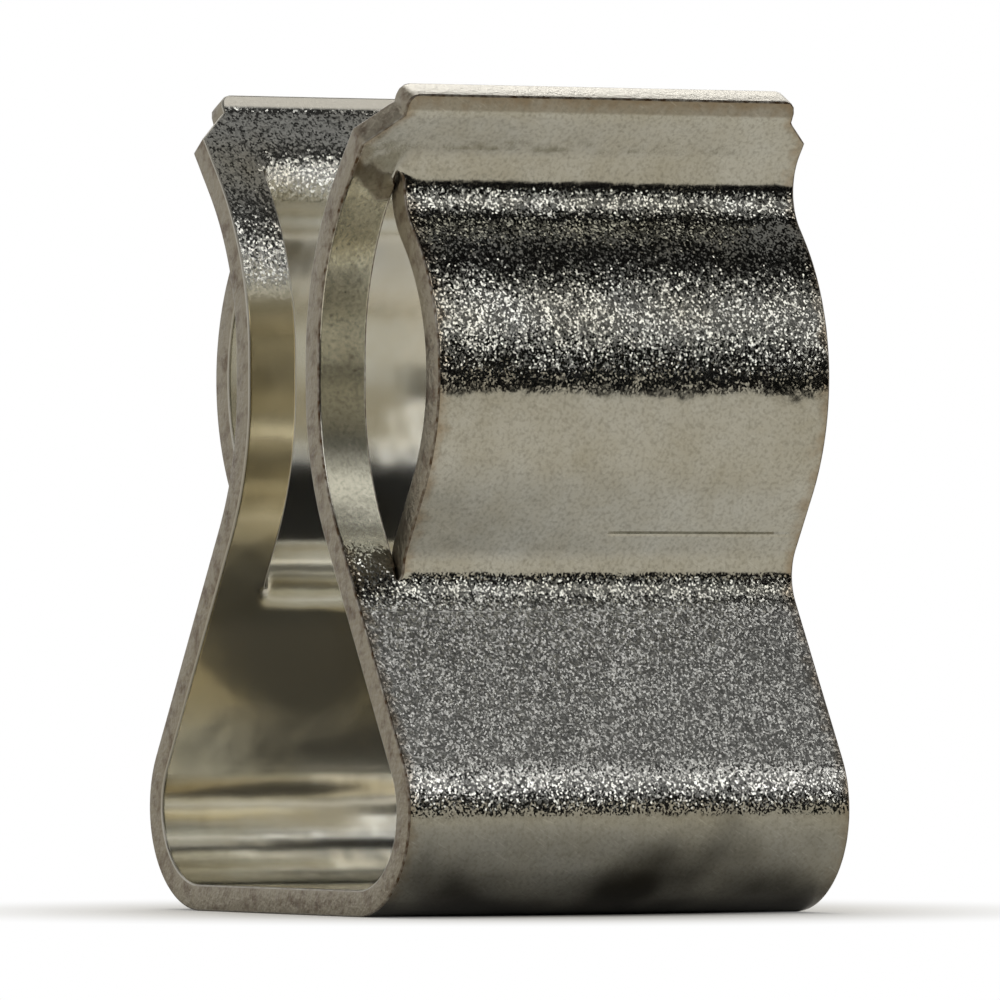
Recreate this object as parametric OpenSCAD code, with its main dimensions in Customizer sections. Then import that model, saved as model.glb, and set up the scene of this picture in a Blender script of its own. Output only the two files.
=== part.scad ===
// Fuse clip: one strip of spring sheet folded into a U that grips a round fuse cap.
// The fuse lies along X, the clip opens upwards and stands on its flat base at Z = 0.
// A narrow strip at the -X end of each wall is slit free and bowed inwards as an end stop.

/* [Sheet] */
// Thickness of the sheet
sheet = 0.41; // [0.3:0.01:0.5]
// Length of the clip along the fuse
clip_l = 7.8; // [6:0.1:12]
// Overall height from the underside to the tips of the lips
clip_h = 12.7; // [12.3:0.1:14]

/* [Base] */
// Overall width across the two base corners
base_w = 8.25; // [7.8:0.05:9]
// Inner radius of each base corner
corner_r = 1.19; // [0.8:0.01:1.4]
// Inward lean of the lower walls, in degrees from upright
wall_lean = 30; // [26:0.5:33]
// Diameter of the rivet hole in the base
hole_d = 3.3; // [2:0.1:4]

/* [Fuse seat] */
// Diameter of the seat that grips the fuse cap
seat_d = 6.24; // [5.8:0.01:6.6]
// Height of the fuse axis above the underside
seat_h = 8.25; // [8:0.05:8.6]
// Angle of the seat that lies below the fuse axis
seat_low = 31; // [26:0.5:35]
// Radius in the hollow of the bend below the seat
neck_r = 0.78; // [0.5:0.01:1]
// Clear width of the mouth above the seat
mouth_w = 4.09; // [3.6:0.01:4.6]
// Radius in the hollow of the bend at the mouth
mouth_r = 0.9; // [0.6:0.01:1.1]
// Straight stretch between the seat and the bend at the mouth
mouth_flat = 0.2; // [0.15:0.01:0.4]

/* [Lips] */
// Outward lean of the lips, in degrees from upright
lip_lean = 38; // [33:0.5:42]
// Outward lean of the tips above the crease, in degrees from upright
tip_lean = 28; // [22:0.5:31]
// Length of each tip above the crease
tip_l = 0.34; // [0.28:0.01:0.5]
// Inner radius of the crease
crease_r = 0.3; // [0.2:0.01:0.5]
// Corner cut from each lip at the end with the end stops, along the length and along the slope
stop_end_cut = 0.54; // [0.3:0.01:0.8]
// Corner cut from each lip at the other end, along the length and along the slope
open_end_cut = 0.38; // [0.3:0.01:0.8]
// Radius of the tip's corners
tip_r = 0.2; // [0.1:0.01:0.25]

/* [End stop] */
// Width of the end stop strips along the fuse
stop_w = 0.85; // [0.6:0.01:1.2]
// Clear gap between the two end stop strips
stop_gap = 1.78; // [1.2:0.01:2.4]
// Upright stretch in the middle of each strip
stop_flat = 0.5; // [0.2:0.05:1]

/* [Hidden] */
$fn = 360;
metal = "#a7a494";

// Ease by which each bend's radii are larger than the tangent ones, so that legs and bends cross
ease = 0.001;
// Length by which cutting shapes pass the faces that they cut
past = 1;
// Number of equal steps in the wedge that cuts a bend out of its ring
wedge_steps = 4;

// Radii and centres of the bends on the middle surface of the sheet, in the YZ section
half = sheet / 2;
corner_m = corner_r + half;
neck_m = neck_r + half;
seat_m = seat_d / 2 + half;
mouth_m = mouth_r + half;
crease_m = crease_r + half;
corner_c = [base_w / 2 - sheet - corner_r, sheet + corner_r];
seat_c = [0, seat_h];

// A unit vector in the section, a degrees from the level line that points outwards
function ray(a) = [cos(a), sin(a)];
// The length from a bend's sharp corner to where the bend starts
function set_back(r, turn) = r * tan(abs(turn) / 2);

// The angle of the seat above the fuse axis, at which the mouth has its clear width
mouth_y = mouth_w / 2 + sheet + mouth_r;
mouth_reach = seat_m + mouth_m;
seat_high = acos(mouth_y / norm([mouth_reach, mouth_flat])) - atan(mouth_flat / mouth_reach);

// The lower wall and the straight stretch under the seat meet at a sharp corner
wall_foot = corner_c + corner_m * ray(wall_lean);
seat_foot = seat_c + seat_m * ray(-seat_low);
neck_turn = wall_lean + seat_low;
to_seat = seat_foot - wall_foot;
neck_reach = (to_seat[0] * cos(seat_low) - to_seat[1] * sin(seat_low)) / -sin(neck_turn);
seat_reach = (to_seat[1] - neck_reach * cos(wall_lean)) / cos(seat_low);

// The lip starts at the end of the bend at the mouth and ends at the crease
mouth_c = seat_c + mouth_reach * ray(seat_high) + mouth_flat * ray(90 + seat_high);
lip_foot = mouth_c + mouth_m * ray(180 - lip_lean);
crease_turn = lip_lean - tip_lean;
crease_back = set_back(crease_m, crease_turn);
crease_z = clip_h - half * sin(tip_lean) - tip_l * cos(tip_lean);
lip_l = (crease_z - lip_foot[1]) / cos(lip_lean);
crease = lip_foot + lip_l * ray(90 - lip_lean);

// The end stop leaves the lower wall, stands upright at half the gap and joins the lip
stop_y = stop_gap / 2 + half;
stop_low = wall_foot[1] + (wall_foot[0] - stop_y) / tan(wall_lean);
stop_high = lip_foot[1] - (lip_foot[0] - stop_y) / tan(lip_lean);
stop_m = (stop_high - stop_low - stop_flat) / (tan(wall_lean / 2) + tan(lip_lean / 2));
stop_r = stop_m - half;
stop_reach = (wall_foot[0] - stop_y) / sin(wall_lean);
stop_lip = (lip_foot[0] - stop_y) / sin(lip_lean) - set_back(stop_m, lip_lean);

// Each fold is the straight leg before a bend, the bend's turn in degrees and its inner radius
base_fold = [corner_c[0], 90 + wall_lean, corner_r];
panel_folds = [
  base_fold,
  [neck_reach - set_back(neck_m, neck_turn), -neck_turn, neck_r],
  [seat_reach - set_back(neck_m, neck_turn), seat_low + seat_high, seat_d / 2],
  [mouth_flat, -(seat_high + lip_lean), mouth_r],
  [lip_l - crease_back, crease_turn, crease_r],
  [tip_l - crease_back, 0, 0]
];
lip_fold = 4;
stop_folds = [
  base_fold,
  [stop_reach - set_back(stop_m, wall_lean), -wall_lean, stop_r],
  [stop_flat, -lip_lean, stop_r]
];

// The length by which a leg runs into a bend, and the bend into the leg
function lap(r) = sqrt(2 * (r + half) * ease);

// One bend of the sheet about the origin, starting straight below it for a left turn, else above
module bend(turn, r) {
  over = lap(r) / (r + half) * 180 / PI;
  step = (abs(turn) + 2 * over) / wedge_steps;
  reach = 2 * (r + sheet);
  intersection() {
    difference() {
      circle(r + ease + sheet);
      circle(r + ease);
    }
    mirror([0, turn < 0 ? 1 : 0])
      polygon([
        [0, 0],
        for (i = [0:wedge_steps])
          reach * ray(i * step - over - 90)
      ]);
  }
}

// The section of half the clip, folded leg by leg from the middle of the base outwards.
// It is drawn from the given fold on, whose leg starts earlier by the given tail.
module folded(folds, from = 0, tail = sheet, fold = 0) {
  leg = folds[fold][0];
  turn = folds[fold][1];
  r = folds[fold][2];
  centre = sign(turn) * (r + half);
  if (fold >= from) {
    start = fold == from ? tail : lap(folds[fold - 1][2]);
    finish = turn == 0 ? 0 : lap(r);
    translate([-start, -half]) square([start + leg + finish, sheet]);
    if (turn != 0)
      translate([leg, centre]) bend(turn, r);
  }
  if (fold + 1 < len(folds))
    translate([leg, centre]) rotate(turn) translate([0, -centre])
      folded(folds, from, tail, fold + 1);
}

module panel_section() {
  folded(panel_folds);
}

// The end stop's own folds, and the lip that it shares with the panel
module stop_section() {
  folded(stop_folds);
  folded(panel_folds, lip_fold, stop_lip + lap(stop_r));
}

// Both halves of a section, drawn out along the fuse from one X to another
module walls(from, to) {
  translate([from, 0, half]) rotate([90, 0, 90]) linear_extrude(to - from)
    for (side = [0, 1])
      mirror([side, 0]) children();
}

// A flat shape in the plane of a lip, with its origin in the crease and its y up the slope
module across_lip(lean) {
  translate([0, crease[0], crease[1]]) rotate([90 - lean, 0, 0])
    linear_extrude(2 * past, center = true) children();
}

// What is cut from one end of a lip: a sloping corner below the crease, a narrower tip above
module lip_end(cut) {
  end = clip_l / 2;
  side = end - cut;
  across_lip(lip_lean)
    polygon([[side, 0], [end + past, -cut - past], [end + past, past / 2], [side, past / 2]]);
  across_lip(tip_lean)
    difference() {
      translate([side - tip_r, tip_l - tip_r]) square(tip_r + past);
      translate([side - tip_r, tip_l - tip_r]) circle(tip_r);
    }
}

module fuse_clip() {
  slit = stop_w - clip_l / 2;
  color(metal)
    difference() {
      union() {
        walls(slit, clip_l / 2) panel_section();
        walls(-clip_l / 2, slit) stop_section();
      }
      translate([0, 0, -past]) cylinder(d = hole_d, h = sheet + 2 * past);
      for (side = [0, 1])
        mirror([0, side, 0]) {
          lip_end(open_end_cut);
          mirror([1, 0, 0]) lip_end(stop_end_cut);
        }
    }
}

fuse_clip();
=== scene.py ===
import math
import bpy
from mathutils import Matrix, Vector


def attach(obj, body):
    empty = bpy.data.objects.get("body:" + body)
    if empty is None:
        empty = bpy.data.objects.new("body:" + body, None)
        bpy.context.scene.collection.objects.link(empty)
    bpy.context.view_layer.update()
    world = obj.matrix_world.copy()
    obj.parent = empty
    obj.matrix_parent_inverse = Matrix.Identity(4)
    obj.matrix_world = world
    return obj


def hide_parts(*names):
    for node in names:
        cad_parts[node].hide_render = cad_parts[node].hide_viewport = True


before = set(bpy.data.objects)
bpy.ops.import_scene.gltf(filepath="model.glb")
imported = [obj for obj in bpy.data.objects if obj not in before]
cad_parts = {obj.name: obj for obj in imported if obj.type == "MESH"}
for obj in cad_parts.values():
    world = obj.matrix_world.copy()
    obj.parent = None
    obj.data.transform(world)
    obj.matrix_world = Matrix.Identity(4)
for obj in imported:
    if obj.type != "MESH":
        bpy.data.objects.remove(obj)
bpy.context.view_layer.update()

MM = 0.001

# Sizes of the folded clip in millimetres, the same as in the solid
SHEET = 0.41
LENGTH = 7.8
HEIGHT = 12.7
BASE_W = 8.25
CORNER_R = 1.19
WALL_LEAN = 30
HOLE_R = 1.65
SEAT_R = 3.12
SEAT_H = 8.25
SEAT_LOW = 31
NECK_R = 0.78
MOUTH_W = 4.09
MOUTH_R = 0.9
MOUTH_FLAT = 0.2
LIP_LEAN = 38
TIP_LEAN = 28
TIP_L = 0.34
CREASE_R = 0.3
STOP_END_CUT = 0.54
OPEN_END_CUT = 0.38
TIP_R = 0.2
STOP_W = 0.85
STOP_GAP = 1.78
STOP_FLAT = 0.5

HALF = SHEET / 2
END = LENGTH / 2
SLIT = STOP_W - END

# Rounding that punching leaves on the sheared edges, and the play that a slit keeps
EDGE_R = 0.03
KERF = 0.012
# Heights between which the slit is open, and the lengths over which the panel and the end stop part
SLIT_LOW, SLIT_HIGH = 5.06, 11.45
SLIT_RUN_OUT = 0.2
PARTING_W = 0.3
# How far round the hole the rows of the mesh bend from square to round
HOLE_ZONE = 2.35
# Unevenness that handling leaves in the walls: its depth, its spacing and the height from which it is full
DENT_DEPTH, DENT_SIZE, DENT_FROM = 0.006, 2.2, 2.0

# Rows of the mesh over each stretch of half the sheet, from the middle of the base to the tip
HOLE_ROWS, RING_ROWS, CORNER_ROWS, WALL_ROWS, NECK_ROWS = 9, 5, 60, 14, 30
SEAT_LEG_ROWS, SEAT_ROWS, MOUTH_LEG_ROWS, MOUTH_ROWS = 6, 44, 3, 38
LIP_ROWS, CREASE_ROWS, TIP_ROWS = 3, 4, 2
TIP_ANGLES = (30, 55, 90)
# Columns of the mesh over an end stop, and between the hole's zone and the slit or the open end
STOP_COLUMNS, SIDE_COLUMNS = 10, 8


def sin(a):
    return math.sin(math.radians(a))


def cos(a):
    return math.cos(math.radians(a))


def tan(a):
    return math.tan(math.radians(a))


def ray(a):
    return Vector((cos(a), sin(a)))


def set_back(r, turn):
    return r * tan(abs(turn) / 2)


def clip_folds():
    """The folds of half a panel and half an end stop on the middle of the sheet, as (leg, turn, radius)."""
    corner, neck, seat = CORNER_R + HALF, NECK_R + HALF, SEAT_R + HALF
    mouth, crease = MOUTH_R + HALF, CREASE_R + HALF
    corner_c = Vector((BASE_W / 2 - SHEET - CORNER_R, SHEET + CORNER_R))
    seat_c = Vector((0, SEAT_H))
    reach = seat + mouth
    mouth_y = MOUTH_W / 2 + SHEET + MOUTH_R
    seat_high = math.degrees(math.acos(mouth_y / math.hypot(reach, MOUTH_FLAT)) - math.atan(MOUTH_FLAT / reach))

    wall_foot = corner_c + corner * ray(WALL_LEAN)
    to_seat = seat_c + seat * ray(-SEAT_LOW) - wall_foot
    neck_turn = WALL_LEAN + SEAT_LOW
    neck_reach = (to_seat.x * cos(SEAT_LOW) - to_seat.y * sin(SEAT_LOW)) / -sin(neck_turn)
    seat_reach = (to_seat.y - neck_reach * cos(WALL_LEAN)) / cos(SEAT_LOW)
    neck_back = set_back(neck, neck_turn)

    lip_foot = seat_c + reach * ray(seat_high) + MOUTH_FLAT * ray(90 + seat_high) + mouth * ray(180 - LIP_LEAN)
    crease_turn = LIP_LEAN - TIP_LEAN
    crease_back = set_back(crease, crease_turn)
    crease_z = HEIGHT - HALF * sin(TIP_LEAN) - TIP_L * cos(TIP_LEAN)
    lip = (crease_z - lip_foot.y) / cos(LIP_LEAN)

    stop_y = STOP_GAP / 2 + HALF
    stop_low = wall_foot.y + (wall_foot.x - stop_y) / tan(WALL_LEAN)
    stop_high = lip_foot.y - (lip_foot.x - stop_y) / tan(LIP_LEAN)
    bow = (stop_high - stop_low - STOP_FLAT) / (tan(WALL_LEAN / 2) + tan(LIP_LEAN / 2))
    stop_leg = (wall_foot.x - stop_y) / sin(WALL_LEAN) - set_back(bow, WALL_LEAN)
    stop_lip = (lip_foot.x - stop_y) / sin(LIP_LEAN) - set_back(bow, LIP_LEAN)

    base = (corner_c.x, 90 + WALL_LEAN, corner)
    ends = [(lip - crease_back, crease_turn, crease), (TIP_L - crease_back, 0, 0)]
    panel = [
        base,
        (neck_reach - neck_back, -neck_turn, neck),
        (seat_reach - neck_back, SEAT_LOW + seat_high, seat),
        (MOUTH_FLAT, -(seat_high + LIP_LEAN), mouth),
        *ends,
    ]
    stop = [
        base,
        (stop_leg, -WALL_LEAN, bow),
        (STOP_FLAT, -LIP_LEAN, bow),
        (stop_lip + ends[0][0], *ends[0][1:]),
        ends[1],
    ]
    return panel, stop


def arc(turn, radius):
    return math.radians(abs(turn)) * radius


def length_to(folds, count):
    """Length along the sheet up to the end of the first folds."""
    return sum(leg + arc(turn, radius) for leg, turn, radius in folds[:count])


def along(folds, distance):
    """The place in the section at a distance along the sheet from the middle of the base."""
    at, heading = Vector((0, HALF)), 0.0
    for leg, turn, radius in folds:
        if distance <= leg or not turn:
            return at + distance * ray(heading)
        at, distance = at + leg * ray(heading), distance - leg
        side = math.copysign(1, turn)
        centre = at + side * radius * ray(heading + 90)
        part = min(1, distance / arc(turn, radius))
        bent = centre - side * radius * ray(heading + turn * part + 90)
        if part < 1:
            return bent
        at, heading, distance = bent, heading + turn, distance - arc(turn, radius)
    return at


def spread(start, end, count):
    """Evenly spaced values after the start, up to and with the end."""
    return [start + (end - start) * (i + 1) / count for i in range(count)]


def clip_rows():
    """Rows of places from the middle of the base to the tip, of a panel and of an end stop, with how far the slit
    parts the two in each row, each row's reach to either end of the clip, its distance from the tip, and the
    slit's first and last row."""
    panel, stop = clip_folds()
    base_leg, wall_leg = panel[0][0], panel[1][0]
    rows = [0.0] + spread(0, HOLE_R, HOLE_ROWS) + spread(HOLE_R, HOLE_ZONE, RING_ROWS) + [base_leg]
    rows += spread(base_leg, length_to(panel, 1), CORNER_ROWS)
    wall_end = length_to(panel, 1) + wall_leg
    rows += spread(rows[-1], wall_end, WALL_ROWS)
    rows += spread(wall_end, length_to(panel, 2), NECK_ROWS)
    for fold, leg_rows, bend_rows in ((2, SEAT_LEG_ROWS, SEAT_ROWS), (3, MOUTH_LEG_ROWS, MOUTH_ROWS)):
        leg_end = length_to(panel, fold) + panel[fold][0]
        rows += spread(rows[-1], leg_end, leg_rows) + spread(leg_end, length_to(panel, fold + 1), bend_rows)
    lip_foot = rows[-1]
    crease = lip_foot + panel[4][0] + set_back(panel[4][2], panel[4][1])
    tip_end = length_to(panel, 6)
    for mark in (crease - STOP_END_CUT, crease - OPEN_END_CUT, lip_foot + panel[4][0]):
        rows += spread(rows[-1], mark, LIP_ROWS)
    rows += spread(rows[-1], length_to(panel, 5), CREASE_ROWS)
    rows += spread(rows[-1], tip_end - TIP_R, TIP_ROWS)
    rows += [tip_end - TIP_R * (1 - sin(a)) for a in TIP_ANGLES]

    # Between the lower wall and the lip an end stop has its own folds, in as many rows
    stop_lip = length_to(stop, 3) + stop[3][0] - panel[4][0]
    panel_places = [along(panel, s) for s in rows]
    stop_places = list(panel_places)
    for i, s in enumerate(rows):
        if wall_end < s < lip_foot:
            part = (s - wall_end) / (lip_foot - wall_end)
            stop_places[i] = along(stop, wall_end + (stop_lip - wall_end) * part)
    inside = [i for i, place in enumerate(panel_places) if SLIT_LOW < place.y < SLIT_HIGH and rows[i] > wall_end]
    first, last = inside[0], inside[-1]
    parted = [smooth(min(s - rows[first], rows[last] - s) / SLIT_RUN_OUT) for s in rows]
    reaches = [[reach(s, cut, crease, tip_end) for s in rows] for cut in (STOP_END_CUT, OPEN_END_CUT)]
    below_tip = [tip_end - s for s in rows]
    return panel_places, stop_places, parted, reaches, below_tip, (first, last)


def smooth(part):
    part = min(max(part, 0), 1)
    return part * part * (3 - 2 * part)


def reach(s, lip_cut, crease, tip_end):
    """How far the sheet reaches along the fuse: a cut corner below the crease, a rounded corner at the tip."""
    cut = min(max(s - crease + lip_cut, 0), lip_cut)
    over = max(s - tip_end + TIP_R, 0)
    return END - cut - TIP_R + math.sqrt(max(TIP_R ** 2 - over ** 2, 0))


def clip_columns():
    """Places along the fuse: close together beside the sheared edges, and even across the hole."""
    beside = 2 * EDGE_R
    columns = [-END, beside - END] + spread(beside - END, SLIT - beside, STOP_COLUMNS) + [SLIT]
    columns += [SLIT + beside] + spread(SLIT + beside, -HOLE_ZONE, SIDE_COLUMNS)
    columns += spread(-HOLE_ZONE, -HOLE_R, RING_ROWS) + spread(-HOLE_R, HOLE_R, 2 * HOLE_ROWS)
    columns += spread(HOLE_R, HOLE_ZONE, RING_ROWS)
    return columns + spread(HOLE_ZONE, END - beside, SIDE_COLUMNS) + [END]


def linear(colour):
    """A hex sRGB colour as linear red, green, blue and alpha."""
    parts = [int(colour[i:i + 2], 16) / 255 for i in (1, 3, 5)]
    return (*(c / 12.92 if c <= 0.04045 else ((c + 0.055) / 1.055) ** 2.4 for c in parts), 1)


def add(tree, kind, inputs=(), **settings):
    """Adds a node with its settings, and links or sets its inputs."""
    node = tree.nodes.new(kind)
    for name, value in settings.items():
        setattr(node, name, value)
    for key, value in dict(inputs).items():
        if isinstance(value, bpy.types.NodeSocket):
            tree.links.new(value, node.inputs[key])
        else:
            node.inputs[key].default_value = value
    return node


def per_mm(size):
    """Texture scale whose cells measure the given millimetres."""
    return 1 / (size * MM)


def new_material(name):
    material = bpy.data.materials.new(name)
    material.use_nodes = True
    material.node_tree.nodes.clear()
    return material, material.node_tree


def outward(tree, facing, place):
    """How far a face stands out from the middle of the clip, below 0 where it looks inwards."""
    away = add(tree, "ShaderNodeVectorMath", {0: facing, 1: place}, operation="MULTIPLY").outputs[0]
    return add(tree, "ShaderNodeSeparateXYZ", {0: away}).outputs[1]


def faceted(tree, place, facing, size, tilt):
    """The normal of a tumbled face, whose cells of the given millimetres are facets tilted at random. Real facets
    are finer and would not show, so they are drawn as coarse as they need to."""
    cells = add(tree, "ShaderNodeTexVoronoi", {"Vector": place, "Scale": per_mm(size)}).outputs["Color"]
    cells = add(tree, "ShaderNodeVectorMath", {0: cells, 1: (0.5, 0.5, 0.5)}, operation="SUBTRACT").outputs[0]
    cells = add(tree, "ShaderNodeVectorMath", {0: cells, "Scale": tilt}, operation="SCALE").outputs[0]
    cells = add(tree, "ShaderNodeVectorMath", {0: facing, 1: cells}, operation="ADD").outputs[0]
    return add(tree, "ShaderNodeVectorMath", {0: cells}, operation="NORMALIZE").outputs[0]


def tumbled_plate():
    """Spring brass, barrel plated with tin and tumbled: a warm grey mirror that fine facets break up, brown where
    the plate is thin beside the sheared edges, and with painted shade on the base corners for the shadow under the
    clip."""
    material, tree = new_material("tumbled tin plate on brass")
    place = add(tree, "ShaderNodeTexCoord").outputs["Object"]
    facing = add(tree, "ShaderNodeNewGeometry").outputs["Normal"]
    where = add(tree, "ShaderNodeSeparateXYZ", {0: place}).outputs

    # A cloudy grey on the faces that stand out. The hollow of the end stops is paler, and stained lower down.
    stain = add(tree, "ShaderNodeTexNoise", {"Vector": place, "Scale": per_mm(1.6), "Detail": 8, "Roughness": 0.7})
    tint = add(tree, "ShaderNodeMapRange", {"Value": stain.outputs["Fac"], "From Min": 0.35, "From Max": 0.75})
    colour = add(tree, "ShaderNodeMix", {0: tint.outputs[0], 6: linear("#b8b8b1"), 7: linear("#a5a192")},
                 data_type="RGBA").outputs[2]
    exposed = add(tree, "ShaderNodeMapRange", {
        "Value": outward(tree, facing, place), "From Min": 1.62 * MM, "From Max": 1.9 * MM,
    }, interpolation_type="SMOOTHSTEP").outputs[0]
    stained = add(tree, "ShaderNodeMapRange", {"Value": where[2], "From Min": 8.4 * MM, "From Max": 7.2 * MM},
                  interpolation_type="SMOOTHSTEP").outputs[0]
    hollow = add(tree, "ShaderNodeMix", {0: stained, 6: linear("#e6e4d8"), 7: linear("#a8a69c")},
                 data_type="RGBA").outputs[2]
    colour = add(tree, "ShaderNodeMix", {0: exposed, 6: hollow, 7: colour}, data_type="RGBA").outputs[2]

    # The lower walls are burnished
    below_neck = add(tree, "ShaderNodeMapRange", {"Value": where[2], "From Min": 5.0 * MM, "From Max": 4.6 * MM},
                     interpolation_type="SMOOTHSTEP").outputs[0]
    burnished = add(tree, "ShaderNodeMapRange", {"Value": where[2], "From Min": 1.65 * MM, "From Max": 1.95 * MM},
                    interpolation_type="SMOOTHSTEP").outputs[0]
    burnished = add(tree, "ShaderNodeMath", {0: burnished, 1: below_neck}, operation="MULTIPLY").outputs[0]
    colour = add(tree, "ShaderNodeMix", {0: burnished, 6: colour, 7: linear("#cccbc5")},
                 data_type="RGBA").outputs[2]

    # Beside the sheared edges the plate is thin in patches, and the brass shows brown
    edge = add(tree, "ShaderNodeAttribute", attribute_name="edge").outputs["Fac"]
    patches = add(tree, "ShaderNodeTexNoise", {"Vector": place, "Scale": per_mm(0.22), "Detail": 3}).outputs["Fac"]
    thin = add(tree, "ShaderNodeMath", {0: patches, 1: 0.5 * MM, 2: edge}, operation="MULTIPLY_ADD").outputs[0]
    thin = add(tree, "ShaderNodeMapRange", {
        "Value": thin, "From Min": 0.52 * MM, "From Max": 0.2 * MM, "To Max": 0.75,
    }, interpolation_type="SMOOTHSTEP").outputs[0]
    thin = add(tree, "ShaderNodeMath", {0: thin, 1: exposed}, operation="MULTIPLY").outputs[0]
    colour = add(tree, "ShaderNodeMix", {0: thin, 6: colour, 7: linear("#93826a")}, data_type="RGBA").outputs[2]

    # The base corners are painted darker grey, a painted reflection of the shadow under the clip, and the tips
    # above the crease are brown
    for start, full, shade in ((1.8, 1.5, "#6f6c60"), (12.25, 12.3, "#66563e")):
        base_shade_and_tip_tint = add(tree, "ShaderNodeMapRange", {
            "Value": where[2], "From Min": start * MM, "From Max": full * MM, "To Max": 0.45,
        }, interpolation_type="SMOOTHSTEP").outputs[0]
        colour = add(tree, "ShaderNodeMix", {0: base_shade_and_tip_tint, 6: colour, 7: linear(shade)}, data_type="RGBA").outputs[2]

    # Pale scratches slant across the walls, and fine specks of tarnish cover them
    slanted = add(tree, "ShaderNodeMapping", {
        "Vector": place, "Rotation": (0, math.radians(28), 0), "Scale": (1, 1, 0.1),
    }, vector_type="TEXTURE").outputs[0]
    scratches = add(tree, "ShaderNodeTexNoise", {"Vector": slanted, "Scale": per_mm(0.26), "Detail": 1})
    scratches = add(tree, "ShaderNodeMapRange", {
        "Value": scratches.outputs["Fac"], "From Min": 0.62, "From Max": 0.74, "To Max": 0.15,
    }).outputs[0]
    colour = add(tree, "ShaderNodeMix", {0: scratches, 6: colour, 7: linear("#d9d8d0")},
                 data_type="RGBA").outputs[2]
    specks = add(tree, "ShaderNodeTexNoise", {"Vector": place, "Scale": per_mm(0.06), "Detail": 2})
    specks = add(tree, "ShaderNodeMapRange", {
        "Value": specks.outputs["Fac"], "From Min": 0.45, "From Max": 0.8, "To Max": 0.5,
    }).outputs[0]
    colour = add(tree, "ShaderNodeMix", {0: specks, 6: colour, 7: linear("#6f6b5f")}, data_type="RGBA").outputs[2]

    # Dark clouds climb the base corners from the bottom: painted shade, standing in for the shadow under the clip
    # that the metal reflects
    painted_contact_shade = add(tree, "ShaderNodeTexNoise", {"Vector": place, "Scale": per_mm(2.1), "Detail": 2}).outputs["Fac"]
    painted_contact_shade = add(tree, "ShaderNodeMath", {0: painted_contact_shade, 1: -4 * MM, 2: where[2]}, operation="MULTIPLY_ADD").outputs[0]
    painted_contact_shade = add(tree, "ShaderNodeMapRange", {
        "Value": painted_contact_shade, "From Min": -0.8 * MM, "From Max": -2.1 * MM, "To Max": 0.95,
    }, interpolation_type="SMOOTHSTEP").outputs[0]
    colour = add(tree, "ShaderNodeMix", {0: painted_contact_shade, 6: colour, 7: linear("#2f2c25")}, data_type="RGBA").outputs[2]

    # Tumbling knocks small facets into the faces that stand out, and hardly reaches the hollow of the end stops or
    # the faces under the swell and the lips. The lower walls are rubbed more than the rest.
    upright = add(tree, "ShaderNodeSeparateXYZ", {0: facing}).outputs[2]
    upright = add(tree, "ShaderNodeMapRange", {"Value": upright, "From Min": -0.1, "From Max": 0.05},
                  interpolation_type="SMOOTHSTEP").outputs[0]
    struck = add(tree, "ShaderNodeMath", {0: exposed, 1: upright}, operation="MULTIPLY").outputs[0]
    rubbed = add(tree, "ShaderNodeMapRange", {"Value": where[2], "From Min": 2.0 * MM, "From Max": 2.4 * MM},
                 interpolation_type="SMOOTHSTEP").outputs[0]
    rubbed = add(tree, "ShaderNodeMath", {0: rubbed, 1: below_neck}, operation="MULTIPLY").outputs[0]
    most = add(tree, "ShaderNodeMapRange", {"Value": rubbed, "To Min": 0.25, "To Max": 0.46}).outputs[0]
    tilt = add(tree, "ShaderNodeMapRange", {"Value": struck, "To Min": 0.015, "To Max": most}).outputs[0]
    ripple = add(tree, "ShaderNodeTexNoise", {"Vector": place, "Scale": per_mm(0.7), "Detail": 2})
    uneven = add(tree, "ShaderNodeMapRange", {"Value": exposed, "To Min": 0.3, "To Max": 1}).outputs[0]
    peened = add(tree, "ShaderNodeBump", {
        "Height": ripple.outputs["Fac"],
        "Strength": uneven,
        "Distance": 0.024 * MM,
        "Normal": faceted(tree, place, facing, 0.03, tilt),
    })

    # The folding tool scores a thin line across the front wall, under the swell
    score_height, score_half, score_depth = 5.84, 0.04, 0.02
    off_line = add(tree, "ShaderNodeMath", {0: where[2], 1: score_height * MM}, operation="SUBTRACT").outputs[0]
    off_line = add(tree, "ShaderNodeMath", {0: off_line}, operation="ABSOLUTE").outputs[0]
    score = add(tree, "ShaderNodeMapRange", {
        "Value": off_line, "From Min": score_half * MM, "From Max": 0.0,
    }).outputs[0]
    for axis, start, end in ((0, 0.4, 0.6), (0, 3.7, 3.6), (1, 0, -0.1)):
        within = add(tree, "ShaderNodeMapRange", {
            "Value": where[axis], "From Min": start * MM, "From Max": end * MM,
        }).outputs[0]
        score = add(tree, "ShaderNodeMath", {0: score, 1: within}, operation="MULTIPLY").outputs[0]
    scored = add(tree, "ShaderNodeBump", {
        "Height": score, "Strength": 1, "Distance": -score_depth * MM, "Normal": peened.outputs[0],
    })
    matt = add(tree, "ShaderNodeMapRange", {"Value": rubbed, "To Min": 0.13, "To Max": 0.28}).outputs[0]
    shader = add(tree, "ShaderNodeBsdfPrincipled", {
        "Base Color": colour,
        "Metallic": 1,
        "Roughness": matt,
        "Normal": scored.outputs[0],
    })
    add(tree, "ShaderNodeOutputMaterial", {"Surface": shader.outputs[0]})
    return material


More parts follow.
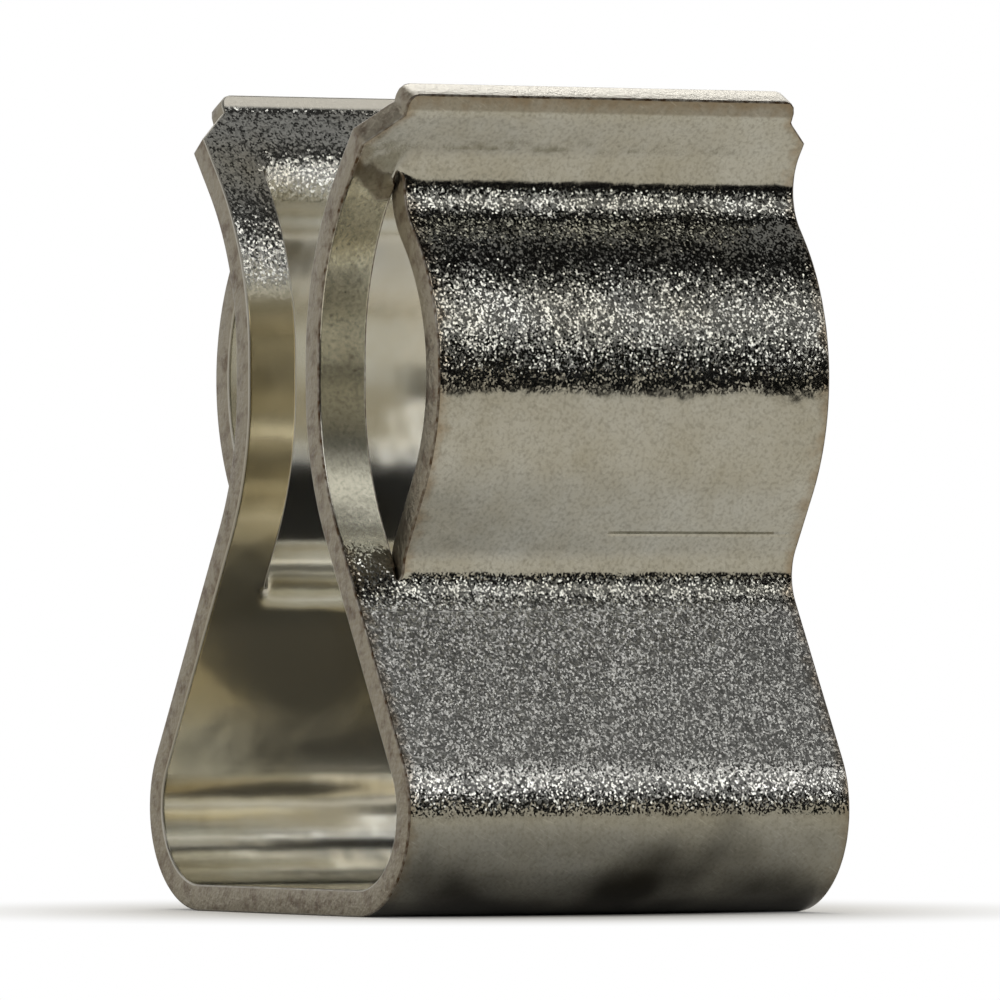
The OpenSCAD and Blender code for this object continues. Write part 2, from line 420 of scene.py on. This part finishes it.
def inner_plate():
    """The same tin plate inside the fold, where tumbling does not reach: a smooth satin grey with yellow stains,
    gilt on the end stops and rubbed pale at the tips of the lips."""
    material, tree = new_material("satin tin plate on brass")
    place = add(tree, "ShaderNodeTexCoord").outputs["Object"]
    facing = add(tree, "ShaderNodeNewGeometry").outputs["Normal"]
    where = add(tree, "ShaderNodeSeparateXYZ", {0: place}).outputs
    off_middle = add(tree, "ShaderNodeMath", {0: where[1]}, operation="ABSOLUTE").outputs[0]
    stain = add(tree, "ShaderNodeTexNoise", {"Vector": place, "Scale": per_mm(1.8), "Detail": 4, "Roughness": 0.6})
    tint = add(tree, "ShaderNodeMapRange", {"Value": stain.outputs["Fac"], "From Min": 0.42, "From Max": 0.72})
    colour = add(tree, "ShaderNodeMix", {0: tint.outputs[0], 6: linear("#d2d1c9"), 7: linear("#c8c2b0")},
                 data_type="RGBA").outputs[2]

    # Gilt where the end stops and the necks reach inwards, below the lips
    gilt = add(tree, "ShaderNodeMapRange", {
        "Value": off_middle, "From Min": 1.9 * MM, "From Max": 1.2 * MM, "To Max": 0.7,
    }, interpolation_type="SMOOTHSTEP").outputs[0]
    below_lips = add(tree, "ShaderNodeMapRange", {"Value": where[2], "From Min": 9.9 * MM, "From Max": 9.0 * MM},
                     interpolation_type="SMOOTHSTEP").outputs[0]
    gilt = add(tree, "ShaderNodeMath", {0: gilt, 1: below_lips}, operation="MULTIPLY").outputs[0]
    colour = add(tree, "ShaderNodeMix", {0: gilt, 6: colour, 7: linear("#cdbd92")}, data_type="RGBA").outputs[2]

    # The lower walls inside are painted paler: painted light, standing in for light reflected into the lower
    # chamber
    painted_chamber_light = add(tree, "ShaderNodeMapRange", {"Value": where[2], "From Min": 1.4 * MM, "From Max": 2.0 * MM},
                interpolation_type="SMOOTHSTEP").outputs[0]
    below_neck = add(tree, "ShaderNodeMapRange", {"Value": where[2], "From Min": 4.7 * MM, "From Max": 4.2 * MM},
                     interpolation_type="SMOOTHSTEP").outputs[0]
    painted_chamber_light = add(tree, "ShaderNodeMath", {0: painted_chamber_light, 1: below_neck}, operation="MULTIPLY").outputs[0]
    colour = add(tree, "ShaderNodeMix", {0: painted_chamber_light, 6: colour, 7: linear("#ece8db")}, data_type="RGBA").outputs[2]

    # Fuses rub the tips of the lips pale and dull
    worn = add(tree, "ShaderNodeMapRange", {"Value": where[2], "From Min": 12.48 * MM, "From Max": 12.54 * MM},
               interpolation_type="SMOOTHSTEP").outputs[0]
    colour = add(tree, "ShaderNodeMix", {0: worn, 6: colour, 7: linear("#f2ecde")}, data_type="RGBA").outputs[2]
    satin = add(tree, "ShaderNodeMapRange", {"Value": worn, "To Min": 0.19, "To Max": 0.5}).outputs[0]
    metal = add(tree, "ShaderNodeMapRange", {"Value": worn, "To Min": 1, "To Max": 0.4}).outputs[0]

    # Tumbling reaches the lips and the upper ends of the end stops
    lips = add(tree, "ShaderNodeMapRange", {"Value": where[2], "From Min": 10.9 * MM, "From Max": 11.2 * MM},
               interpolation_type="SMOOTHSTEP").outputs[0]
    stops = add(tree, "ShaderNodeMapRange", {"Value": where[2], "From Min": 9.2 * MM, "From Max": 10.2 * MM},
                interpolation_type="SMOOTHSTEP").outputs[0]
    near = add(tree, "ShaderNodeMapRange", {
        "Value": off_middle, "From Min": 1.95 * MM, "From Max": 1.75 * MM,
    }).outputs[0]
    stops = add(tree, "ShaderNodeMath", {0: stops, 1: near}, operation="MULTIPLY").outputs[0]
    struck = add(tree, "ShaderNodeMath", {0: lips, 1: stops}, operation="MAXIMUM").outputs[0]
    tilt = add(tree, "ShaderNodeMapRange", {"Value": struck, "To Max": 0.25}).outputs[0]
    ripple = add(tree, "ShaderNodeTexNoise", {"Vector": place, "Scale": per_mm(0.6), "Detail": 1})
    rolled = add(tree, "ShaderNodeBump", {
        "Height": ripple.outputs["Fac"],
        "Strength": 1,
        "Distance": 0.01 * MM,
        "Normal": faceted(tree, place, facing, 0.035, tilt),
    })
    shader = add(tree, "ShaderNodeBsdfPrincipled", {
        "Base Color": colour,
        "Metallic": metal,
        "Roughness": satin,
        "Normal": rolled.outputs[0],
    })
    add(tree, "ShaderNodeOutputMaterial", {"Surface": shader.outputs[0]})
    return material


def sheared_brass():
    """The sheared edge of the sheet, plated over a torn surface: matt grey with brown spots, and bright along the
    tips of the lips, where fuses slide in."""
    material, tree = new_material("plated sheared brass edge")
    place = add(tree, "ShaderNodeTexCoord").outputs["Object"]
    spots = add(tree, "ShaderNodeTexNoise", {
        "Vector": place, "Scale": per_mm(0.3), "Detail": 4, "Roughness": 0.65,
    })
    spots = add(tree, "ShaderNodeMapRange", {"Value": spots.outputs["Fac"], "From Min": 0.48, "From Max": 0.68})
    colour = add(tree, "ShaderNodeMix", {0: spots.outputs[0], 6: linear("#867f70"), 7: linear("#63574a")},
                 data_type="RGBA")
    upward = add(tree, "ShaderNodeNewGeometry").outputs["Normal"]
    upward = add(tree, "ShaderNodeSeparateXYZ", {0: upward}).outputs[2]
    bright = add(tree, "ShaderNodeMapRange", {"Value": upward, "From Min": 0.65, "From Max": 0.85}).outputs[0]
    colour = add(tree, "ShaderNodeMix", {0: bright, 6: colour.outputs[2], 7: linear("#dcd7cb")}, data_type="RGBA")
    grain = add(tree, "ShaderNodeTexNoise", {"Vector": place, "Scale": per_mm(0.09), "Detail": 2})
    torn = add(tree, "ShaderNodeBump", {"Height": grain.outputs["Fac"], "Strength": 1, "Distance": 0.02 * MM})
    shader = add(tree, "ShaderNodeBsdfPrincipled", {
        "Base Color": colour.outputs[2],
        "Metallic": 1,
        "Roughness": 0.42,
        "Normal": torn.outputs[0],
    })
    add(tree, "ShaderNodeOutputMaterial", {"Surface": shader.outputs[0]})
    return material


def rubbed_brass():
    """The rolled corner beside a sheared edge: brown bare brass on the outside, plated on the inside."""
    material, tree = new_material("rubbed brass corner")
    place = add(tree, "ShaderNodeTexCoord").outputs["Object"]
    facing = add(tree, "ShaderNodeNewGeometry").outputs["Normal"]
    worn = add(tree, "ShaderNodeTexNoise", {"Vector": place, "Scale": per_mm(0.12), "Detail": 4}).outputs["Fac"]
    worn = add(tree, "ShaderNodeMapRange", {"Value": worn, "From Min": 0.2, "From Max": 0.65}).outputs[0]
    outside = add(tree, "ShaderNodeMapRange", {
        "Value": outward(tree, facing, place), "From Min": -0.3 * MM, "From Max": 0.3 * MM,
    }).outputs[0]
    worn = add(tree, "ShaderNodeMath", {0: worn, 1: outside}, operation="MULTIPLY").outputs[0]
    colour = add(tree, "ShaderNodeMix", {0: worn, 6: linear("#a19d92"), 7: linear("#4a3a2a")}, data_type="RGBA")
    shader = add(tree, "ShaderNodeBsdfPrincipled", {
        "Base Color": colour.outputs[2],
        "Metallic": 1,
        "Roughness": 0.35,
    })
    add(tree, "ShaderNodeOutputMaterial", {"Surface": shader.outputs[0]})
    return material


def line_object(name, places, values=()):
    """A row of points with float attributes, which the sheet's tree reads by index."""
    mesh = bpy.data.meshes.new(name)
    mesh.from_pydata([Vector(p) * MM for p in places], [], [])
    for key, numbers in dict(values).items():
        attribute = mesh.attributes.new(key, "FLOAT", "POINT")
        attribute.data.foreach_set("value", numbers)
    item = bpy.data.objects.new(name, mesh)
    bpy.context.scene.collection.objects.link(item)
    return item


def both_walls(half_rows, mirror):
    """Rows from the front tip over the base to the back tip."""
    return [mirror(r) for r in half_rows[:0:-1]] + list(half_rows)


def folded_sheet_tree():
    """Folds a flat grid: each row takes its place from the panel's line, or from the end stop's line on the other
    side of the slit. Past the slit's ends the one runs into the other. The rivet hole is left open in the base."""
    tree = bpy.data.node_groups.new("folded sheet", "GeometryNodeTree")
    tree.is_modifier = True
    for name, kind in (
        ("Geometry", "NodeSocketGeometry"),
        ("Panel line", "NodeSocketObject"),
        ("Stop line", "NodeSocketObject"),
        ("Column line", "NodeSocketObject"),
        ("Slit column", "NodeSocketFloat"),
        ("Slit first row", "NodeSocketFloat"),
        ("Slit last row", "NodeSocketFloat"),
        ("Slit place", "NodeSocketFloat"),
        ("Parting width", "NodeSocketFloat"),
        ("Half length", "NodeSocketFloat"),
        ("Hole radius", "NodeSocketFloat"),
        ("Hole zone", "NodeSocketFloat"),
        ("Sheet", "NodeSocketFloat"),
        ("Kerf", "NodeSocketFloat"),
        ("Dent depth", "NodeSocketFloat"),
        ("Dent size", "NodeSocketFloat"),
        ("Dent height", "NodeSocketFloat"),
        ("Plate", "NodeSocketMaterial"),
    ):
        tree.interface.new_socket(name, in_out="INPUT", socket_type=kind)
    tree.interface.new_socket("Geometry", in_out="OUTPUT", socket_type="NodeSocketGeometry")
    size = add(tree, "NodeGroupInput").outputs

    panel, stop, columns = (
        add(tree, "GeometryNodeObjectInfo", {"Object": size[name]}).outputs["Geometry"]
        for name in ("Panel line", "Stop line", "Column line")
    )
    row_count = add(tree, "GeometryNodeAttributeDomainSize", {0: panel}).outputs["Point Count"]
    column_count = add(tree, "GeometryNodeAttributeDomainSize", {0: columns}).outputs["Point Count"]
    flat = add(tree, "GeometryNodeMeshGrid", {"Vertices X": column_count, "Vertices Y": row_count})
    index = add(tree, "GeometryNodeInputIndex").outputs[0]
    row_of = add(tree, "FunctionNodeIntegerMath", {0: index, 1: row_count}, operation="MODULO").outputs[0]
    column_of = add(tree, "FunctionNodeIntegerMath", {0: index, 1: row_count}, operation="DIVIDE_FLOOR").outputs[0]
    blank = flat.outputs["Mesh"]
    for name, value in (("row", row_of), ("column", column_of)):
        blank = add(tree, "GeometryNodeStoreNamedAttribute", {"Geometry": blank, "Name": name, "Value": value},
                    data_type="FLOAT", domain="POINT").outputs[0]
    row, column = (
        add(tree, "GeometryNodeInputNamedAttribute", {"Name": name}, data_type="FLOAT").outputs[0]
        for name in ("row", "column")
    )
    middle = add(tree, "ShaderNodeMath", {0: row_count, 1: 1}, operation="SUBTRACT").outputs[0]
    middle = add(tree, "ShaderNodeMath", {0: middle, 1: 2}, operation="DIVIDE").outputs[0]
    from_middle = add(tree, "ShaderNodeMath", {0: row, 1: middle}, operation="SUBTRACT").outputs[0]
    from_middle = add(tree, "ShaderNodeMath", {0: from_middle}, operation="ABSOLUTE").outputs[0]

    # The faces on the end stop's side carry 1, so that the points of a parted edge know their side
    on_stop = add(tree, "FunctionNodeCompare", {0: column, 1: size["Slit column"]},
                  operation="LESS_THAN").outputs[0]
    blank = add(tree, "GeometryNodeStoreNamedAttribute", {
        "Geometry": blank, "Name": "stop side", "Value": on_stop,
    }, data_type="FLOAT", domain="FACE").outputs[0]
    in_column = add(tree, "FunctionNodeCompare", {0: column, 1: size["Slit column"], "Epsilon": 0.1},
                    operation="EQUAL").outputs[0]
    in_slit = in_column
    for limit, side in (("Slit first row", "GREATER_THAN"), ("Slit last row", "LESS_THAN")):
        within = add(tree, "FunctionNodeCompare", {0: from_middle, 1: size[limit]}, operation=side).outputs[0]
        in_slit = add(tree, "FunctionNodeBooleanMath", {0: in_slit, 1: within}, operation="AND").outputs[0]
    blank = add(tree, "GeometryNodeSplitEdges", {"Mesh": blank, "Selection": in_slit}).outputs[0]

    side = add(tree, "GeometryNodeInputNamedAttribute", {"Name": "stop side"}, data_type="FLOAT").outputs[0]
    at = add(tree, "GeometryNodeInputPosition").outputs[0]
    panel_at, stop_at, column_at = (
        add(tree, "GeometryNodeSampleIndex", {0: line, "Value": at, "Index": number},
            data_type="FLOAT_VECTOR", domain="POINT").outputs[0]
        for line, number in ((panel, row), (stop, row), (columns, column))
    )
    parted, stop_reach, open_reach, below_tip = (
        add(tree, "GeometryNodeSampleIndex", {
            0: panel,
            "Value": add(tree, "GeometryNodeInputNamedAttribute", {"Name": name}, data_type="FLOAT").outputs[0],
            "Index": row,
        }, data_type="FLOAT", domain="POINT").outputs[0]
        for name in ("parted", "stop reach", "open reach", "below tip")
    )
    across = add(tree, "ShaderNodeSeparateXYZ", {0: column_at}).outputs[0]
    from_slit = add(tree, "ShaderNodeMath", {0: across, 1: size["Slit place"]}, operation="SUBTRACT").outputs[0]
    from_slit = add(tree, "ShaderNodeMath", {0: from_slit, 1: size["Parting width"]},
                    operation="DIVIDE").outputs[0]
    joined = add(tree, "ShaderNodeMapRange", {"Value": from_slit, "From Min": 0.5, "From Max": -0.5},
                 interpolation_type="SMOOTHSTEP").outputs[0]
    share = add(tree, "ShaderNodeMix", {0: parted, 2: joined, 3: side}, data_type="FLOAT").outputs[0]
    section = add(tree, "ShaderNodeMix", {0: share, 4: panel_at, 5: stop_at}, data_type="VECTOR").outputs[1]
    section = add(tree, "ShaderNodeSeparateXYZ", {0: section}).outputs

    # Cut and rounded corners pull the ends of the rows in
    stop_half = add(tree, "FunctionNodeCompare", {0: across, 1: 0}, operation="LESS_THAN").outputs[0]
    end = add(tree, "GeometryNodeSwitch", {0: stop_half, 1: open_reach, 2: stop_reach},
              input_type="FLOAT").outputs[0]
    across = add(tree, "ShaderNodeMath", {0: across, 1: end}, operation="MULTIPLY").outputs[0]
    across = add(tree, "ShaderNodeMath", {0: across, 1: size["Half length"]}, operation="DIVIDE").outputs[0]

    # Distance to the nearest sheared edge
    off_end = add(tree, "ShaderNodeMath", {0: across}, operation="ABSOLUTE").outputs[0]
    off_end = add(tree, "ShaderNodeMath", {0: end, 1: off_end}, operation="SUBTRACT").outputs[0]
    off_slit = add(tree, "ShaderNodeMath", {0: across, 1: size["Slit place"]}, operation="SUBTRACT").outputs[0]
    off_slit = add(tree, "ShaderNodeMath", {0: off_slit}, operation="ABSOLUTE").outputs[0]
    unparted = add(tree, "ShaderNodeMath", {0: 1, 1: parted}, operation="SUBTRACT").outputs[0]
    off_slit = add(tree, "ShaderNodeMath", {0: unparted, 1: size["Half length"], 2: off_slit},
                   operation="MULTIPLY_ADD").outputs[0]
    to_edge = add(tree, "ShaderNodeMath", {0: off_end, 1: off_slit}, operation="MINIMUM").outputs[0]
    to_edge = add(tree, "ShaderNodeMath", {0: to_edge, 1: below_tip}, operation="MINIMUM").outputs[0]
    blank = add(tree, "GeometryNodeStoreNamedAttribute", {"Geometry": blank, "Name": "edge", "Value": to_edge},
                data_type="FLOAT", domain="POINT").outputs[0]

    # The kerf opens the slit between its parted points
    way = add(tree, "ShaderNodeMath", {0: 0.5, 1: side}, operation="SUBTRACT").outputs[0]
    way = add(tree, "ShaderNodeMath", {0: way, 1: parted}, operation="MULTIPLY").outputs[0]
    way = add(tree, "ShaderNodeMath", {0: way, 1: in_column}, operation="MULTIPLY").outputs[0]
    across = add(tree, "ShaderNodeMath", {0: way, 1: size["Kerf"], 2: across}, operation="MULTIPLY_ADD").outputs[0]

    # Round the hole the square rings of the grid become circles
    level = add(tree, "ShaderNodeCombineXYZ", {0: across, 1: section[1]}).outputs[0]
    off_x, off_y = (
        add(tree, "ShaderNodeMath", {0: part}, operation="ABSOLUTE").outputs[0] for part in (across, section[1])
    )
    ring = add(tree, "ShaderNodeMath", {0: off_x, 1: off_y}, operation="MAXIMUM").outputs[0]
    round_off = add(tree, "ShaderNodeMapRange", {
        "Value": ring, "From Min": size["Hole zone"], "From Max": size["Hole radius"],
    }).outputs[0]
    in_base = add(tree, "FunctionNodeCompare", {0: section[2], 1: size["Sheet"]}, operation="LESS_THAN").outputs[0]
    round_off = add(tree, "ShaderNodeMath", {0: round_off, 1: in_base}, operation="MULTIPLY").outputs[0]
    circle = add(tree, "ShaderNodeVectorMath", {0: level}, operation="NORMALIZE").outputs[0]
    circle = add(tree, "ShaderNodeVectorMath", {0: circle, "Scale": ring}, operation="SCALE").outputs[0]
    level = add(tree, "ShaderNodeMix", {0: round_off, 4: level, 5: circle}, data_type="VECTOR").outputs[1]
    level = add(tree, "ShaderNodeSeparateXYZ", {0: level}).outputs
    place = add(tree, "ShaderNodeCombineXYZ", {0: level[0], 1: level[1], 2: section[2]}).outputs[0]
    sheet = add(tree, "GeometryNodeSetPosition", {"Geometry": blank, "Position": place}).outputs[0]

    # The disc that is punched out of the hole
    here = add(tree, "ShaderNodeSeparateXYZ", {0: at}).outputs
    flat_here = add(tree, "ShaderNodeCombineXYZ", {0: here[0], 1: here[1]}).outputs[0]
    radius = add(tree, "ShaderNodeVectorMath", {0: flat_here}, operation="LENGTH").outputs["Value"]
    punched = add(tree, "FunctionNodeCompare", {0: radius, 1: size["Hole radius"]},
                  operation="LESS_THAN").outputs[0]
    in_base = add(tree, "FunctionNodeCompare", {0: here[2], 1: size["Sheet"]}, operation="LESS_THAN").outputs[0]
    punched = add(tree, "FunctionNodeBooleanMath", {0: punched, 1: in_base}, operation="AND").outputs[0]
    sheet = add(tree, "GeometryNodeDeleteGeometry", {"Geometry": sheet, "Selection": punched}, domain="FACE",
                mode="ALL").outputs[0]

    # Handling leaves the walls very slightly uneven, which shows in their reflections. The base stays flat.
    density = add(tree, "ShaderNodeMath", {0: 1, 1: size["Dent size"]}, operation="DIVIDE").outputs[0]
    dents = add(tree, "ShaderNodeTexNoise", {"Vector": at, "Scale": density, "Detail": 1}).outputs["Fac"]
    dents = add(tree, "ShaderNodeMath", {0: dents, 1: 0.5}, operation="SUBTRACT").outputs[0]
    depth = add(tree, "ShaderNodeMapRange", {
        "Value": here[2], "From Min": size["Sheet"], "From Max": size["Dent height"], "To Max": size["Dent depth"],
    }).outputs[0]
    dents = add(tree, "ShaderNodeMath", {0: dents, 1: depth}, operation="MULTIPLY").outputs[0]
    normal = add(tree, "GeometryNodeInputNormal").outputs[0]
    offset = add(tree, "ShaderNodeVectorMath", {0: normal, "Scale": dents}, operation="SCALE").outputs[0]
    sheet = add(tree, "GeometryNodeSetPosition", {"Geometry": sheet, "Offset": offset}).outputs[0]

    sheet = add(tree, "GeometryNodeSetShadeSmooth", {"Geometry": sheet}).outputs[0]
    sheet = add(tree, "GeometryNodeRealizeInstances", {"Geometry": sheet}).outputs[0]
    sheet = add(tree, "GeometryNodeSetMaterial", {"Geometry": sheet, "Material": size["Plate"]}).outputs[0]
    add(tree, "NodeGroupOutput", {0: sheet})
    return tree


def plain_mesh(item):
    """What an object's modifiers make, as a mesh of its own."""
    graph = bpy.context.evaluated_depsgraph_get()
    return bpy.data.meshes.new_from_object(item.evaluated_get(graph), depsgraph=graph)


def front(place):
    """The place on the front wall that mirrors one on the back wall."""
    return Vector((-place[0], place[1]))


def folded_clip(finishes):
    """The whole clip as one sheet: folded by the tree, then given its thickness and its rounded edges. Its
    finishes are those of the inner face, the outer face, the sheared edge and the rounded corner."""
    outer, sheared, corner = 1, 2, 3
    panel_places, stop_places, parted, (stop_reach, open_reach), below_tip, (slit_first, slit_last) = clip_rows()
    columns = clip_columns()
    lines = [
        line_object("panel line", [(0, *p) for p in both_walls(panel_places, front)], {
            "parted": both_walls(parted, float),
            "stop reach": [v * MM for v in both_walls(stop_reach, float)],
            "open reach": [v * MM for v in both_walls(open_reach, float)],
            "below tip": [v * MM for v in both_walls(below_tip, float)],
        }),
        line_object("stop line", [(0, *p) for p in both_walls(stop_places, front)]),
        line_object("column line", [(x, 0, 0) for x in columns]),
    ]
    host = bpy.data.objects.new("folding", bpy.data.meshes.new("folding"))
    bpy.context.scene.collection.objects.link(host)
    tree = folded_sheet_tree()
    sizes = {
        "Panel line": lines[0],
        "Stop line": lines[1],
        "Column line": lines[2],
        "Slit column": float(min(range(len(columns)), key=lambda i: abs(columns[i] - SLIT))),
        "Slit first row": float(slit_first),
        "Slit last row": float(slit_last),
        "Slit place": SLIT * MM,
        "Parting width": PARTING_W * MM,
        "Half length": END * MM,
        "Hole radius": HOLE_R * MM,
        "Hole zone": HOLE_ZONE * MM,
        "Sheet": SHEET * MM,
        "Kerf": KERF * MM,
        "Dent depth": DENT_DEPTH * MM,
        "Dent size": DENT_SIZE * MM,
        "Dent height": DENT_FROM * MM,
        "Plate": finishes[0],
    }
    fold = host.modifiers.new("fold", "NODES")
    fold.node_group = tree
    for socket in tree.interface.items_tree:
        if socket.in_out == "INPUT" and socket.name in sizes:
            fold[socket.identifier] = sizes[socket.name]
    sheet = plain_mesh(host)
    sheet.materials.pop(index=0)
    for finish in finishes[1:]:
        sheet.materials.append(finish)
    clip = bpy.data.objects.new("folded_clip", sheet)
    bpy.context.scene.collection.objects.link(clip)
    for item in (host, *lines):
        bpy.data.objects.remove(item)

    thicken = clip.modifiers.new("thickness", "SOLIDIFY")
    thicken.thickness = SHEET * MM
    thicken.offset = 0
    thicken.use_even_offset = True
    thicken.material_offset = outer
    thicken.material_offset_rim = sheared
    roll = clip.modifiers.new("rolled edges", "BEVEL")
    roll.width = EDGE_R * MM
    roll.segments = 3
    roll.limit_method = "ANGLE"
    roll.angle_limit = math.radians(60)
    roll.use_clamp_overlap = False
    roll.material = corner
    even = clip.modifiers.new("even shading", "WEIGHTED_NORMAL")
    even.keep_sharp = False
    clip.data = plain_mesh(clip)
    clip.modifiers.clear()
    return clip


def place_camera():
    """Level with the lower part of the clip, far off with a long lens, to the left of the front wall."""
    data = bpy.data.cameras.new("camera")
    data.sensor_width = 36
    data.lens = 489.6
    data.clip_start = 10 * MM
    camera = bpy.data.objects.new("camera", data)
    turn, rise, distance = -29.9, -0.4424, 211
    target = Vector((0.0407, -0.0234, 6.377))
    back = Vector((sin(turn) * cos(rise), -cos(turn) * cos(rise), sin(rise)))
    camera.location = (target + back * distance) * MM
    camera.rotation_euler = back.to_track_quat("Z", "Y").to_euler()
    bpy.context.scene.collection.objects.link(camera)
    bpy.context.scene.camera = camera


def around_fuse(turn, distance):
    """A place in the section, at an angle up from the front and at a distance from the fuse's axis."""
    return Vector((0, -distance * cos(turn), distance * sin(turn) + SEAT_H))


def tube_light(name, turn, distance, middle, length, width, brightness):
    """A long soft lamp that lies along X and faces the clip. Its brightness is 1 where it looks plain white."""
    data = bpy.data.lights.new(name, "AREA")
    data.shape = "RECTANGLE"
    data.size = length * MM
    data.size_y = width * MM
    data.energy = brightness * math.pi * length * width * MM * MM
    lamp = bpy.data.objects.new(name, data)
    lamp.location = (around_fuse(turn, distance) + Vector((middle, 0, 0))) * MM
    lamp.rotation_euler = (math.radians(90 - turn), 0, 0)
    lamp.visible_camera = False
    bpy.context.scene.collection.objects.link(lamp)


def screen(name, rows, material):
    """A surface through rows of equally many points, in millimetres."""
    verts = [Vector(p) * MM for row in rows for p in row]
    wide = len(rows[0])
    faces = [
        (k * wide + i, k * wide + i + 1, (k + 1) * wide + i + 1, (k + 1) * wide + i)
        for k in range(len(rows) - 1)
        for i in range(wide - 1)
    ]
    mesh = bpy.data.meshes.new(name)
    mesh.from_pydata(verts, [], faces)
    mesh.materials.append(material)
    item = bpy.data.objects.new(name, mesh)
    bpy.context.scene.collection.objects.link(item)
    return item


def felt_arch(name, start, end, material, distance=260, ends=(-260, 520), steps=24):
    """A bent card along X, from one angle up from the front to another. It takes no light off the clip, and shows
    only as a reflection in it."""
    turns = [start + (end - start) * i / steps for i in range(steps + 1)]
    rows = [[around_fuse(turn, distance) + Vector((x, 0, 0)) for x in ends] for turn in turns]
    card = screen(name, rows, material)
    card.visible_camera = False
    card.visible_diffuse = False
    card.visible_shadow = False
    return card


def white_paper():
    """Plain white paper with a painted shadow close under the clip, which fades into the white background away
    from it.
    """
    material, tree = new_material("white paper")
    place = add(tree, "ShaderNodeTexCoord").outputs["Object"]
    away = add(tree, "ShaderNodeVectorMath", {0: place}, operation="LENGTH").outputs["Value"]
    path = add(tree, "ShaderNodeLightPath").outputs
    fades = []
    for near, far, rays in ((3, 11, ("Is Camera Ray", "Is Transmission Ray")), (4, 14, ("Is Glossy Ray",))):
        fade = add(tree, "ShaderNodeMapRange", {"Value": away, "From Min": near * MM, "From Max": far * MM},
                   interpolation_type="SMOOTHSTEP").outputs[0]
        for name in rays:
            fades.append(add(tree, "ShaderNodeMath", {0: fade, 1: path[name]}, operation="MULTIPLY").outputs[0])
    most = fades[0]
    for fade in fades[1:]:
        most = add(tree, "ShaderNodeMath", {0: most, 1: fade}, operation="MAXIMUM").outputs[0]
    # The paper is painted dark close round the clip: a painted shadow
    under = add(tree, "ShaderNodeMapRange", {"Value": away, "From Min": 2 * MM, "From Max": 4.2 * MM}).outputs[0]
    shade = add(tree, "ShaderNodeMix", {0: under, 6: linear("#5e5b52"), 7: linear("#e4e1da")}, data_type="RGBA")
    paper = add(tree, "ShaderNodeBsdfDiffuse", {"Color": shade.outputs[2]})
    white = add(tree, "ShaderNodeMix", {0: path["Is Glossy Ray"], 6: (1, 1, 1, 1), 7: linear("#e2dccf")},
                data_type="RGBA")
    glow = add(tree, "ShaderNodeEmission", {"Color": white.outputs[2], "Strength": 1})
    mixed = add(tree, "ShaderNodeMixShader", {0: most, 1: paper.outputs[0], 2: glow.outputs[0]})
    add(tree, "ShaderNodeOutputMaterial", {"Surface": mixed.outputs[0]})
    return material


def felt(name, colour):
    """Matt felt on the cards that give bright metal its dark and grey bands."""
    material, tree = new_material(name)
    nap = add(tree, "ShaderNodeBsdfDiffuse", {"Color": linear(colour)})
    add(tree, "ShaderNodeOutputMaterial", {"Surface": nap.outputs[0]})
    return material


def studio():
    """White paper under the clip and a white surround. Cards of black, grey and pale felt arch over it from the
    front to the back, with a row of lights before them, a tube behind the clip and a light above it."""
    ring, radii = range(0, 361, 5), (0, 20, 50, 75)
    floor = screen("paper", [[(r * cos(a), r * sin(a), 0) for a in ring] for r in radii], white_paper())
    black, grey, pale = felt("black felt", "#141414"), felt("grey felt", "#787878"), felt("pale felt", "#c8c8c8")
    felt_arch("low_felt", -10, 15, black)
    felt_arch("middle_felt", 15, 51, grey)
    felt_arch("high_felt", 51, 75, black)
    felt_arch("top_felt", 75, 90, pale)
    felt_arch("back_felt", 90, 120, grey)
    first, last, spacing = -234, 400, 100
    for middle in range(first, last, spacing):
        tube_light(f"front light {middle}", turn=31, distance=245, middle=middle, length=22, width=160,
                   brightness=3.2)
    tube_light("back tube", turn=125, distance=245, middle=150, length=420, width=60, brightness=1.6)
    tube_light("top light", turn=97, distance=300, middle=0, length=160, width=160, brightness=3.2)

    # The surround is plain white to the eye and in the metal, and dimmer where it lights the paper
    world = bpy.data.worlds.new("white surround")
    world.use_nodes = True
    tree = world.node_tree
    tree.nodes.clear()
    path = add(tree, "ShaderNodeLightPath").outputs
    seen = add(tree, "ShaderNodeMath", {0: path["Is Camera Ray"], 1: path["Is Glossy Ray"]}, operation="MAXIMUM")
    seen = add(tree, "ShaderNodeMath", {0: seen.outputs[0], 1: path["Is Transmission Ray"]}, operation="MAXIMUM")
    level = add(tree, "ShaderNodeMapRange", {"Value": seen.outputs[0], "To Min": 0.4, "To Max": 1}).outputs[0]
    surround = add(tree, "ShaderNodeBackground", {"Color": (1, 1, 1, 1), "Strength": level})
    add(tree, "ShaderNodeOutputWorld", {"Surface": surround.outputs[0]})
    bpy.context.scene.world = world


clip = folded_clip((inner_plate(), tumbled_plate(), sheared_brass(), rubbed_brass()))
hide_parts("fuse_clip")
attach(clip, "root")
place_camera()
studio()
bpy.context.scene.view_settings.view_transform = "Standard"
